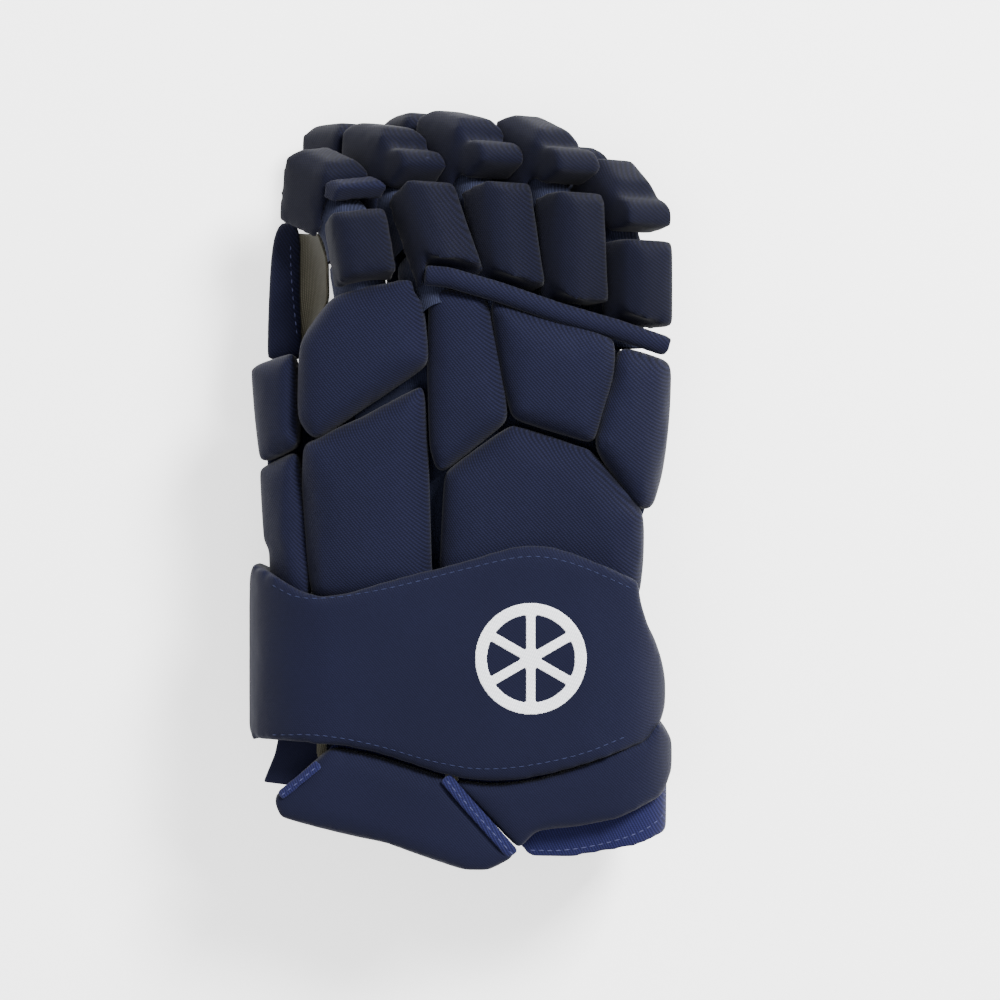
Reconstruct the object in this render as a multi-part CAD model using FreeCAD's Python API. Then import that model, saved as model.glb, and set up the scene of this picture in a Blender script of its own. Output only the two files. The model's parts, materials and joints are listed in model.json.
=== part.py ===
import FreeCAD, Part
import os
from math import sin, cos, tan, radians, pi, hypot
from FreeCAD import Vector

# Right-hand ice hockey glove lying palm down.  X runs across the hand towards the
# little finger, Y along it towards the fingertips, Z up out of the back of the hand.

# ---- driving sizes, mm and degrees ----
hand_breadth = 176.0          # across the backhand and its side pads
glove_length = 318.0          # cuff end to the bent knuckles
pattern_breadth = 176.0       # breadth the pad patterns are drafted at
pattern_length = 318.0        # length the pad patterns are drafted at

sleeve_half_wide = 64.0       # hand sleeve, half its breadth
sleeve_half_high = 27.0       # hand sleeve, half its depth
sleeve_corner = 25.0
sleeve_centre = Vector(-1.0, 0, 38.0)
sleeve_wall = 3.0             # quilted liner
sleeve_start = 101.0          # wrist end of the hand sleeve
sleeve_turn = 6.0             # the back of the hand slopes down to the little finger
palm_sheet = 1.6              # palm leather
back_sheet = 2.0              # backhand base fabric
insert_sheet = 1.5            # moulded plastic stiffeners
finger_keepout = 1.0          # hand parts stop this far short of the finger hinges

pad_bevel = 5.0               # bevel round the outer face of a backhand pad
pad_reach = 34.0              # how deep a backhand pad runs before it meets the sleeve
pad_spread = 0.7              # the pads are cut this much larger than their patterns
seam_gap = 0.4                # between pieces of one body that are sewn side by side

roll_radius = 4.6             # padded roll over the knuckles
roll_clearance = 3.8          # finger pads stay this far from it

cuff_centre = Vector(-3.5, 0, 50.0)
band_half_wide = 87.5         # padded band round the cuff, outside
band_half_high = 50.0
band_corner = 34.0
band_thick = 8.0
band_low = 22.0               # the band's ends wrap down to this height
flap_drop = 4.0               # flap pads lie this far inside the band's outer face
flap_thick = 13.0
flap_flare = 11.0             # the flaps stand out wider than the band
backing_thick = 3.0
liner_half_wide = 66.0
liner_half_high = 39.5
liner_drop = 2.0              # the liner sits this far below the band's middle
liner_corner = 30.0
liner_wall = 2.5
cuff_liner_start, cuff_liner_end = 21.0, 86.0
palm_cuff_half = 46.0         # flat panel under the wrist, half its breadth
palm_cuff_from, palm_cuff_end = 22.0, 84.0
palm_cuff_reach = 8.0         # the panel rises this far up the round of the cuff
wrist_flex, wrist_stretch = 18.0, 6.0
emblem_radius = 23.0
emblem_thick = 0.8
emblem_ring, emblem_spoke = 5.0, 4.0   # widths of its ring and its spokes

finger_turn = 38.0            # the fingers curl in planes turned this far
finger_pad_wide = 24.8
finger_half_deep = 11.0       # stall, half its depth
finger_pad_thick = 15.0       # first pads
pad_wall = 2.3                # the pads wrap this thick down the sides of a stall
first_wrap = 6.0              # how far the first pads wrap down, and
outer_wrap = 19.0             # how far the pads beyond the middle joints do
finger_corner = 7.0
finger_wall = 1.8
finger_bevel = 4.5
joint_roll_radius = 8.5       # small roll over each middle knuckle
joint_roll_bias = 18.0        # how far that roll reaches over the first pad

knuckle_flex = 22.0           # the roll stops the knuckles bending back past rest
middle_flex, middle_stretch = 20.0, 4.0
tip_ratio = 0.6               # a fingertip follows its middle joint
hinge_spare = 1.0             # extra angle kept clear at each side of a hinge
root_spare = 2.0              # and behind the knuckles

thumb_turn = 42.0
thumb_twist = -27.0           # the lower thumb pad faces more upwards than its hinge
thumb_wide = 24.0
thumb_gap = 1.2               # kept between the thumb and the side of the index finger
thumb_bent, thumb_curled = 15.0, 70.0   # flexion of its two parts at rest
thumb_half_deep = 10.5
thumb_pad_thick = 13.5
thumb_lower, thumb_tip = 31.0, 30.0
thumb_base_flex, thumb_tip_flex, thumb_stretch = 16.0, 12.0, 4.0
tape_wide = 5.0               # binding tape between the two thumb pads

across = hand_breadth / pattern_breadth
along = glove_length / pattern_length
up = Vector(0, 0, 1)
forward = Vector(0, 1, 0)
nodes = {}


def graded(points):
    """A pattern drafted at the pattern size, graded to this glove's size."""
    return [(x * across, y * along) for x, y in points]


def placed(x, y, z):
    """A point given at pattern size, graded like the patterns."""
    return Vector(x * across, y * along, z)


def rounded_face(centre, u, v, half_u, half_v, corner):
    """Face with four straight sides and four round corners, in the plane of u and v."""
    edges, first, last = [], None, None
    for quarter in range(4):
        middle = radians(45 + 90 * quarter)
        corner_u = (half_u - corner) * (1 if cos(middle) > 0 else -1)
        corner_v = (half_v - corner) * (1 if sin(middle) > 0 else -1)
        arc = [centre + u * (corner_u + corner * cos(middle + turn))
               + v * (corner_v + corner * sin(middle + turn)) for turn in (-pi / 4, 0, pi / 4)]
        if last is None:
            first = arc[0]
        else:
            edges.append(Part.LineSegment(last, arc[0]))
        edges.append(Part.Arc(*arc))
        last = arc[2]
    edges.append(Part.LineSegment(last, first))
    return Part.Face(Part.Wire([edge.toShape() for edge in edges]))


def body_section(centre, turn, half_wide, half_high, corner, start, end):
    """Solid of constant rounded section running along the glove from start to end."""
    u = Vector(cos(radians(turn)), 0, -sin(radians(turn)))
    v = Vector(sin(radians(turn)), 0, cos(radians(turn)))
    face = rounded_face(centre + forward * start, u, v, half_wide, half_high, corner)
    return face.extrude(forward * (end - start))


def prism(points, low, high):
    """Straight-sided solid over a plan outline."""
    corners = [Vector(x, y, low) for x, y in points]
    return Part.Face(Part.makePolygon(corners + corners[:1])).extrude(up * (high - low))


def inset(points, margin):
    """Plan outline with every edge moved inwards."""
    count = len(points)
    area = sum(points[i][0] * points[(i + 1) % count][1] - points[(i + 1) % count][0] * points[i][1]
               for i in range(count))
    side = 1 if area > 0 else -1
    lines = []
    for i in range(count):
        (x0, y0), (x1, y1) = points[i], points[(i + 1) % count]
        length = hypot(x1 - x0, y1 - y0)
        nx, ny = -side * (y1 - y0) / length, side * (x1 - x0) / length
        lines.append((nx, ny, nx * x0 + ny * y0 + margin))
    moved = []
    for i in range(count):
        (a, b, c), (d, e, f) = lines[i - 1], lines[i]
        cross = a * e - b * d
        moved.append(((c * e - b * f) / cross, (a * f - c * d) / cross))
    return moved


def bevelled_pad(points, through, lean, depth):
    """Foam block with a flat, sloping outer face, a bevel round it and upright sides.

    through is a point of the outer face, and lean is how far it slopes down to the right.
    """
    def on_face(outline, drop):
        corners = [Vector(x, y, through.z - (x - through.x) * tan(radians(lean)) - drop)
                   for x, y in outline]
        return Part.makePolygon(corners + corners[:1])
    small = inset(points, pad_bevel)
    loft = [on_face(small, 0), on_face(points, pad_bevel), on_face(points, depth)]
    return Part.makeLoft(loft, True, True)


def tube(points, radius):
    """Round bar along a line of points, mitred at each bend."""
    rings = []
    for i, point in enumerate(points):
        run = points[min(i + 1, len(points) - 1)] - points[max(i - 1, 0)]
        rings.append(Part.Wire(Part.makeCircle(radius, point, run)))
    return Part.makeLoft(rings, True, True)


def flexed(turn, angle):
    """Along, dorsal and hinge directions of a finger part flexed by angle."""
    outward = Vector(sin(radians(turn)), 0, cos(radians(turn)))
    hinge = Vector(cos(radians(turn)), 0, -sin(radians(turn)))
    run = forward * cos(radians(angle)) - outward * sin(radians(angle))
    normal = outward * cos(radians(angle)) + forward * sin(radians(angle))
    return run, normal, hinge


def twisted(run, normal, hinge, twist):
    """The same directions turned about the part's own length."""
    c, s = cos(radians(twist)), sin(radians(twist))
    return run, normal * c + hinge * s, hinge * c - normal * s


def stall(base, axes, length, wide, half_deep, closed):
    """Hollow sleeve for one finger bone, open at both ends unless it is a fingertip."""
    run, normal, side = axes
    outer = rounded_face(base, side, normal, wide / 2, half_deep, finger_corner)
    inner = rounded_face(base - run, side, normal, wide / 2 - finger_wall,
                         half_deep - finger_wall, finger_corner - finger_wall)
    reach = length - finger_wall if closed else length + 1
    return outer.extrude(run * length).cut(inner.extrude(run * (reach + 1)))


def stall_room(base, axes, length, wide, half_deep):
    """The space a stall takes up with a seam's gap round it, running out of its open end."""
    run, normal, side = axes
    face = rounded_face(base - run * 20, side, normal, wide / 2 + seam_gap,
                        half_deep + seam_gap, finger_corner)
    return face.extrude(run * (length + 20 + seam_gap))


def finger_pad(base, axes, start, end, wide, low, high, bevel):
    """Bevelled foam block on the back of one finger part."""
    run, normal, side = axes

    def ring(margin, height):
        corners = [base + run * s + side * w + normal * height for s, w in (
            (start + margin, -wide / 2 + margin), (end - margin, -wide / 2 + margin),
            (end - margin, wide / 2 - margin), (start + margin, wide / 2 - margin))]
        return Part.makePolygon(corners + corners[:1])
    return Part.makeLoft([ring(bevel, high), ring(0, high - bevel), ring(0, low)], True, True)


def sector(pivot, run, normal, hinge, dorsal, palmar):
    """Everything within two angles of run about the hinge: the room one part may fill."""
    reach, half = 130.0, 32.0
    corner = pivot - hinge * half
    rim = [corner]
    steps = 6
    for step in range(steps + 1):
        angle = radians(-palmar + (dorsal + palmar) * step / steps)
        rim.append(corner + (run * cos(angle) + normal * sin(angle)) * reach)
    return Part.Face(Part.makePolygon(rim + rim[:1])).extrude(hinge * (2 * half))


def half_angles(rest, flex, stretch, bias=0.0):
    """Dorsal and palmar room of one side of a hinge that rests bent."""
    return ((180 + rest - stretch) / 2 - hinge_spare + bias,
            (180 - rest - flex) / 2 - hinge_spare)


def add(name, shape):
    """Keep a finished piece under its own name."""
    nodes[name] = shape.removeSplitter()


joints = []


def add_joint(name, pivot, hinge, low, high):
    joints.append((name, pivot, hinge * -1, low, high))


# ---- fingers ----
# name, outer face of the first pad where it meets the knuckle roll, flexion of the first
# part, bend at the middle and end joints, lengths of the three parts, how much wider than
# the others its pads are, and how thick they are beyond the middle joint
fingers = [
    ("index", placed(0.6, 250, 92), 29, 52, 8, 46, 31, 26, 0, 22),
    ("middle", placed(26.4, 243, 84), 13, 64, 20, 47, 31, 20, 0, 20.5),
    ("ring", placed(53, 236, 77), 4, 64, 50, 48, 30, 19, 0, 16.5),
    ("little", placed(80, 226, 66), 0, 50, 45, 38, 25, 21, 1.2, 15.5),
]
pad_top = finger_half_deep + finger_pad_thick
pad_side_room = 1.2           # hand parts stay this far from the sides of the finger pads
finger_outward = flexed(finger_turn, 0)[1]
keepouts = []
stall_frames = {}
knuckle_line = [placed(-17, 246.5, 90), placed(-7, 245.5, 90), placed(13, 240, 85),
                placed(39, 231.5, 77.5), placed(63, 225, 70), placed(85, 218, 62)]
knuckle_roll = tube(knuckle_line, roll_radius)
roll_room = tube(knuckle_line, roll_radius + roll_clearance)
roll_seat = tube(knuckle_line, roll_radius + seam_gap)

for name, face_point, lean, bend, curl, first, second, third, extra, outer_thick in fingers:
    axes = [flexed(finger_turn, lean), flexed(finger_turn, lean + bend),
            flexed(finger_turn, lean + bend + curl)]
    hinge = axes[0][2]
    wide = finger_pad_wide + extra
    sleeve_wide = wide - 2 * pad_wall
    base = face_point - axes[0][1] * pad_top
    middle = base + axes[0][0] * first
    end = middle + axes[1][0] * second
    tip_flex, tip_stretch = middle_flex * tip_ratio, middle_stretch * tip_ratio

    room_first = sector(base, axes[0][0], axes[0][1], hinge,
                        90 - root_spare, 90 - knuckle_flex - hinge_spare)
    room_first = room_first.common(sector(
        middle, axes[0][0] * -1, axes[0][1], hinge,
        *half_angles(bend, middle_flex, middle_stretch, -joint_roll_bias)))
    room_second = sector(middle, axes[1][0], axes[1][1], hinge,
                         *half_angles(bend, middle_flex, middle_stretch, joint_roll_bias))
    room_second = room_second.common(sector(
        end, axes[1][0] * -1, axes[1][1], hinge,
        *half_angles(curl, tip_flex, tip_stretch)))
    room_third = sector(end, axes[2][0], axes[2][1], hinge,
                        *half_angles(curl, tip_flex, tip_stretch))

    seat = finger_half_deep
    blocks = [(base, axes[0], -4, first - 1), (middle, axes[1], 2, second + 2),
              (end, axes[2], -1, third + 1)]
    parts = ["first", "second", "tip"]
    rooms = [room_first, room_second, room_third]
    lengths = [first, second, third]
    across_joint = flexed(finger_turn, lean + bend / 2)
    bar_start = middle + across_joint[1] * (pad_top - joint_roll_radius) \
        - hinge * (wide / 2 - 1)
    bar = Part.makeCylinder(joint_roll_radius, wide - 2, bar_start, hinge)
    bar_room = Part.makeCylinder(joint_roll_radius + seam_gap, wide + 4,
                                 bar_start - hinge * 3, hinge)
    for part, (origin, frame, start, stop), room, length in zip(parts, blocks, rooms, lengths):
        top = pad_top if part == "first" else seat + outer_thick
        low = seat - (first_wrap if part == "first" else outer_wrap)
        block = finger_pad(origin, frame, start, stop, wide, low, top, finger_bevel)
        block = block.cut(stall_room(origin, frame, length, sleeve_wide, seat)).common(room)
        if part == "first":
            block = block.cut(roll_room)
        if part == "second":
            block = block.cut(bar_room)
        add(name + "_" + part + "_pad", block)
        sleeve = stall(origin, frame, length, sleeve_wide, finger_half_deep, part == "tip")
        add(name + "_" + part + "_stall", sleeve.common(room).cut(roll_room))
        stall_frames[name + "_" + part + "_stall"] = (origin, frame, length)
    bar_shell = bar.common(room_second)
    add(name + "_joint_roll", bar_shell.cut(nodes[name + "_second_stall"]))
    keepouts.append((base, axes[0], wide / 2 + pad_side_room))
    add_joint(name + "_knuckle", base, hinge, 0.0, knuckle_flex)
    add_joint(name + "_middle_joint", middle, hinge, -middle_stretch, middle_flex)
    add_joint(name + "_tip_joint", end, hinge, -tip_stretch, tip_flex)

# ---- thumb ----
# everything on the index finger's side of its own left side, where the thumb may not go
index_pivot, index_frame, index_half = keepouts[0]
beside = index_pivot - index_frame[2] * (index_half - pad_side_room + thumb_gap)
reach = 200.0
index_room = Part.Face(Part.makePolygon([beside + forward * y + finger_outward * z
                                         for y, z in ((-reach, -reach), (reach, -reach),
                                                      (reach, reach), (-reach, reach),
                                                      (-reach, -reach))]))
index_room = index_room.extrude(index_frame[2] * reach)
thumb_axes = [flexed(thumb_turn, thumb_bent), flexed(thumb_turn, thumb_curled)]
thumb_hinge = thumb_axes[0][2]
lower_frame = twisted(*thumb_axes[0], thumb_twist)
tip_frame = twisted(*thumb_axes[1], -8)
thumb_top = thumb_half_deep + thumb_pad_thick
thumb_base = placed(-38.5, 246, 97) - lower_frame[1] * thumb_top
thumb_joint = thumb_base + thumb_axes[0][0] * thumb_lower
thumb_bend = thumb_curled - thumb_bent
thumb_sleeve = thumb_wide - 2 * pad_wall
thumb_mitre = half_angles(thumb_bend, thumb_tip_flex, thumb_stretch)
room_lower = sector(thumb_base, thumb_axes[0][0], thumb_axes[0][1], thumb_hinge,
                    90 - thumb_stretch, 90 - thumb_base_flex - hinge_spare)
room_lower = room_lower.common(sector(thumb_joint, thumb_axes[0][0] * -1, thumb_axes[0][1],
                                      thumb_hinge, *thumb_mitre))
room_tip = sector(thumb_joint, thumb_axes[1][0], thumb_axes[1][1], thumb_hinge, *thumb_mitre)
lower_pad = finger_pad(thumb_base, lower_frame, -3, thumb_lower - 1, thumb_wide,
                       thumb_half_deep - first_wrap, thumb_top, finger_bevel)
lower_pad = lower_pad.cut(stall_room(thumb_base, lower_frame, thumb_lower + 6, thumb_sleeve,
                                     thumb_half_deep))
add("thumb_lower_pad", lower_pad.common(room_lower).cut(index_room))
add("thumb_lower_stall", stall(thumb_base, lower_frame, thumb_lower + 6, thumb_sleeve,
                               thumb_half_deep, False).common(room_lower).cut(index_room))
cap_back = 6.0                # the tip's stall and tape reach back over the joint
tape_end = tape_wide - 2
tip_room = stall_room(thumb_joint, tip_frame, thumb_tip, thumb_sleeve, thumb_half_deep)
tape = finger_pad(thumb_joint, tip_frame, -cap_back - 2, tape_end, thumb_wide + 1,
                  thumb_half_deep, thumb_top - 5, 2).common(room_tip)
tip_pad = finger_pad(thumb_joint, tip_frame, tape_end + seam_gap, thumb_tip + 3, thumb_wide,
                     thumb_half_deep - outer_wrap, thumb_top, finger_bevel)
add("thumb_tip_pad", tip_pad.cut(tip_room).common(room_tip).cut(index_room))
add("thumb_binding_tape", tape.cut(tip_room).cut(index_room))
thumb_cap = stall(thumb_joint - tip_frame[0] * cap_back, tip_frame, thumb_tip + cap_back,
                  thumb_sleeve, thumb_half_deep, True).common(room_tip)
add("thumb_tip_stall", thumb_cap.cut(index_room))
keepouts.append((thumb_base, thumb_axes[0], thumb_wide / 2 + 2))
add_joint("thumb_base_joint", thumb_base, thumb_hinge, -thumb_stretch, thumb_base_flex)
add_joint("thumb_tip_joint", thumb_joint, thumb_hinge, -thumb_stretch, thumb_tip_flex)

# ---- hand ----
def finger_room():
    """Space above the finger and thumb hinges that the hand's own pieces leave free."""
    room = None
    for pivot, (run, normal, side), half in keepouts:
        frame = [pivot - run * finger_keepout + side * w + normal * h
                 for w, h in ((-half, -34), (half, -34), (half, 46), (-half, 46))]
        block = Part.Face(Part.makePolygon(frame + frame[:1])).extrude(run * 120)
        room = block if room is None else room.fuse(block)
    return room


free_room = finger_room()
sleeve_top = 252 * along


def hand_section(grow, start=sleeve_start, end=sleeve_top):
    return body_section(sleeve_centre, sleeve_turn, sleeve_half_wide + grow,
                        sleeve_half_high + grow, sleeve_corner + grow, start, end)


# the sleeve's finger end follows the knuckle line, and its palm side reaches further
crotch_high = 28.0
mouth = prism(graded([(-110, 219), (-20, 219), (40, 221), (100, 206), (100, 330), (-110, 330)]),
              crotch_high, 160)
mouth = mouth.fuse(prism(graded([(-110, 222), (100, 216), (100, 330), (-110, 330)]),
                         -60, crotch_high))
liner_solid = hand_section(0).cut(hand_section(-sleeve_wall, sleeve_start - 1, sleeve_top + 1))
hand_liner = liner_solid.cut(mouth).cut(free_room)
add("hand_liner", hand_liner)

split = [sleeve_centre + forward * 40 + Vector(cos(radians(sleeve_turn)), 0,
         -sin(radians(sleeve_turn))) * w for w in (-150, 150)]
split_face = Part.Face(Part.makePolygon([split[0], split[1], split[1] + forward * 260,
                                         split[0] + forward * 260, split[0]]))
upper_side = split_face.extrude(up * 120)
lower_side = split_face.extrude(up * -120)
skin = hand_section(back_sheet).cut(hand_section(0, sleeve_start - 1, sleeve_top + 1))
wings = [([(-84, 137), (-60, 137), (-60, 213), (-87, 207)], 45.5),
         ([(58, 137), (74, 137), (83, 181), (84, 209), (58, 216)], 32.0)]
base_cloth = skin.common(upper_side)
for outline, height in wings:
    wing = prism(graded(outline), height, height + back_sheet)
    base_cloth = base_cloth.fuse(wing.cut(hand_section(0.5)))
add("backhand_base", base_cloth.cut(mouth).cut(free_room))
palm = hand_section(palm_sheet).cut(hand_section(0, sleeve_start - 1, sleeve_top + 1))
add("palm_panel", palm.common(lower_side).cut(mouth).cut(free_room))
insert_from, insert_to = 128.0, 200.0
insert_plan = [(-40, 120), (40, 120), (48, 204), (-48, 204)]
insert = hand_section(back_sheet + insert_sheet, insert_from, insert_to).cut(
    hand_section(back_sheet, insert_from - 1, insert_to + 1))
add("backhand_stiffener", insert.common(prism(insert_plan, 60, 110)))

# name, plan outline, a point on the outer face, slope
backhand_pads = [
    ("thumb_base_pad", [(-55, 237), (-20, 249), (-16, 211), (-63, 179), (-69, 187), (-68, 219)],
     (-43, 0, 91), 2),
    ("inner_wrist_pad", [(-67, 176), (-18, 200), (-15, 112), (-63, 112)], (-41, 0, 88.5), 3),
    ("index_back_pad", [(-14.5, 243), (8, 238), (17, 187), (-11, 165), (-14, 174)],
     (0, 0, 87), 6),
    ("middle_back_pad", [(11, 236), (62, 221), (61, 206), (53, 178), (20, 188)],
     (38, 0, 83), 10),
    ("outer_back_pad", [(65, 217), (86, 211), (84, 181), (78, 150), (73, 150), (55, 176)],
     (71, 0, 74), 30),
    ("outer_wrist_pad", [(-8, 164), (19, 184), (51, 174), (74, 147), (72, 112), (-10, 112)],
     (32, 0, 82), 8),
    ("upper_side_pad", [(-90, 209), (-72, 214), (-71, 176), (-86, 170)], (-80, 0, 78), -42),
    ("lower_side_pad", [(-86, 166), (-71, 173), (-66, 112), (-82, 112)], (-77, 0, 78), -42),
]
base_solid = hand_section(back_sheet + 0.1)


def band_section(grow, start=-10.0, end=170.0):
    return body_section(cuff_centre, 0, band_half_wide + grow, band_half_high + grow,
                        band_corner + grow, start, end)


def curve(points):
    """Smooth edge through a few points of a plan outline."""
    line = Part.BSplineCurve()
    line.interpolate([Vector(x, y, 0) for x, y in points])
    return line.toShape()


# the band's plan: a wavy top edge, a slanting outer end and a bottom edge that dips
band_top = graded([(-99, 126), (-86, 126), (-68, 116), (-36, 120), (6, 131), (27, 135.5),
                   (45, 132), (72, 120)])
band_end = graded([(72, 120), (76, 102), (84, 68), (78, 55), (70, 51)])
band_bottom = graded([(70, 51), (46, 42.5), (10, 36.5), (-14, 40.5), (-36, 47.5), (-60, 52),
                      (-99, 51)])
band_left = Part.LineSegment(Vector(*band_bottom[-1], 0), Vector(*band_top[0], 0)).toShape()
band_plan = Part.Face(Part.Wire([curve(band_top), curve(band_end), curve(band_bottom), band_left]))
band_plan.translate(up * band_low)
band_block = band_plan.extrude(up * 100)
band = band_section(0).cut(band_section(-band_thick, -11, 171)).common(band_block)
band_room = band_section(2).cut(band_section(-band_thick - 1.2, -11, 171)).common(
    Part.makeBox(240, 135 * along, 140, Vector(-120, 0, 0)))

insert_room = hand_section(back_sheet + insert_sheet + 0.2, insert_from - 0.5,
                           insert_to + 0.5).common(prism(inset(insert_plan, -0.5), 60, 110))
wing_room = Part.makeBox(60, 300, 40, Vector(-120, 0, wings[0][1] + back_sheet + 0.1 - 40)).fuse(
    Part.makeBox(60, 300, 40, Vector(57, 0, wings[1][1] + back_sheet + 0.1 - 40)))
taken = []
for name, outline, through, lean in backhand_pads:
    block = bevelled_pad(inset(graded(outline), -pad_spread), placed(*through), lean, pad_reach)
    block = block.cut(base_solid).cut(roll_seat).cut(free_room).cut(band_room).cut(insert_room)
    block = block.cut(wing_room)
    for room in taken:
        block = block.cut(room)
    taken.append(prism(inset(graded(outline), -pad_spread - seam_gap), 0, 120))
    solids = sorted(block.Solids, key=lambda solid: -solid.Volume)
    add(name, solids[0])
add("knuckle_roll", knuckle_roll)

# side panel of the thumb opening and the lining seen inside it
panel_low, panel_thick = 43.0, 6.0
panel_plan = graded([(-85, 211.5), (-84, 240), (-81, 246), (-74, 246), (-71, 236), (-70, 215.7)])
add("thumb_side_panel", prism(panel_plan, panel_low, panel_low + panel_thick))
lining_plan = graded([(-71, 222), (-74, 250), (-67, 250), (-63, 236), (-66, 222)])
lining = prism(lining_plan, panel_low + panel_thick + 0.2, panel_low + panel_thick + 2.4)
add("thumb_opening_lining", lining.cut(base_solid).cut(free_room))

# ---- cuff ----
add("cuff_band", band)
stiffener = band_section(-band_thick - 0.1, 58, 104).cut(
    band_section(-band_thick - 0.1 - insert_sheet, 57, 105))
add("cuff_stiffener", stiffener.common(Part.makeBox(110, 60, 60, Vector(-58, 50, 60))))

def liner_section(grow, start, end):
    return body_section(cuff_centre - up * liner_drop, 0, liner_half_wide + grow,
                        liner_half_high + grow, liner_corner + grow, start, end)


liner = liner_section(0, cuff_liner_start, cuff_liner_end).cut(
    liner_section(-liner_wall, cuff_liner_start - 1, cuff_liner_end + 1))
liner_edge = prism(graded([(-100, 62), (-60, 44), (-10, 22), (30, 18), (70, 30), (100, 50),
                           (100, -10), (-100, -10)]), 60, 160)
roof_low, roof_end = 79.0, 67.0     # the flap backings are the roof of the mouth
add("cuff_liner", liner.cut(liner_edge).cut(
    Part.makeBox(240, roof_end * along, 60, Vector(-120, 0, roof_low))))


def flap_shell(outer_in, thick):
    """Part of a flared tube just inside the band, thick towards the wrist."""
    outer = body_section(cuff_centre, 0, band_half_wide + flap_flare - outer_in,
                         band_half_high - outer_in, band_corner - outer_in, -10, 66)
    inner = body_section(cuff_centre, 0, band_half_wide + flap_flare - outer_in - thick,
                         band_half_high - outer_in - thick, band_corner - outer_in - thick,
                         -11, 67)
    return outer.cut(inner)


above_table = 40.0
under_band = band_plan.copy()
under_band.translate(up * -30 - forward * seam_gap)
under_band = under_band.extrude(up * 180)
radial_plan = graded([(-46, 62), (-60, 47), (-80, 30), (-77, 22), (-33, 11), (0, 0), (10, 0),
                      (21, 6), (5, 24), (-8, 38), (-14, 62)])
ulnar_plan = graded([(-13, 62), (-7, 38.5), (6, 24.5), (22, 7), (30, 14), (46, 15), (66, 18.5),
                     (85, 27), (92, 42), (90, 52), (82, 64)])
backing_plan = graded([(-4, 62), (-3.5, 36), (26, 5), (42, 4.5), (66, 9), (84, 17), (92, 30),
                       (96, 44), (90, 64)])
radial = flap_shell(flap_drop, flap_thick).common(prism(radial_plan, above_table, 160))
add("inner_flap_pad", radial.cut(under_band))
ulnar = flap_shell(flap_drop + 1, flap_thick - 1).common(prism(ulnar_plan, above_table, 160))
add("outer_flap_pad", ulnar.cut(under_band))
backing = flap_shell(flap_drop + flap_thick + 0.2, backing_thick)
backing = backing.cut(band_section(seam_gap).cut(
    band_section(-band_thick - seam_gap, -11, 171)).common(under_band))
add("inner_flap_backing", backing.common(prism(radial_plan, above_table - 6, 160)))
add("outer_flap_backing", backing.common(prism(backing_plan, above_table - 6, 160)).cut(
    prism(inset(radial_plan, -seam_gap), 0, 170)))

palm_cuff_plan = graded([(-palm_cuff_half, palm_cuff_from), (-palm_cuff_half - 10, 60),
                         (-palm_cuff_half, palm_cuff_end), (palm_cuff_half, palm_cuff_end),
                         (palm_cuff_half + 10, 60), (palm_cuff_half, palm_cuff_from)])
palm_cuff = prism(palm_cuff_plan, 0, palm_cuff_reach)
add("palm_cuff_panel", palm_cuff.cut(liner_section(0.2, 0, 120)))

# plain round emblem: a ring with three bars across it, on the band's top face
emblem_at = placed(27, 88, cuff_centre.z + band_half_high + 0.05)
ring = Part.makeCylinder(emblem_radius, emblem_thick, emblem_at)
ring = ring.cut(Part.makeCylinder(emblem_radius - emblem_ring, emblem_thick * 3, emblem_at - up))
for turn in (30, 90, 150):
    bar = Part.makeBox(2 * emblem_radius - emblem_ring, emblem_spoke, emblem_thick,
                       Vector(emblem_ring / 2 - emblem_radius, -emblem_spoke / 2, 0))
    bar.rotate(Vector(), up, turn)
    bar.translate(emblem_at)
    ring = ring.fuse(bar)
add("cuff_emblem", ring)

# ---- seat the glove: origin under the middle of its own box ----
wrist_pivot = Vector(sleeve_centre.x, 104 * along, sleeve_centre.z)
everything = Part.makeCompound(list(nodes.values())).BoundBox
shift = Vector(-everything.Center.x, -everything.Center.y, -everything.ZMin)

os.makedirs("parts", exist_ok=True)
for name, shape in nodes.items():
    shape.translate(shift)
    shape.exportStep("parts/" + name + ".step")
print("nodes", len(nodes), "shift", shift)
for name, pivot, axis, low, high in joints:
    print("joint", name, [round(v, 4) for v in (pivot + shift)],
          [round(v, 6) for v in axis], low, high)
print("joint wrist", [round(v, 4) for v in (wrist_pivot + shift)])
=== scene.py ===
import json
from math import cos, pi, sin

import bmesh
import bpy
import numpy as np
from mathutils import Matrix, Vector
from mathutils.bvhtree import BVHTree


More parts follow.
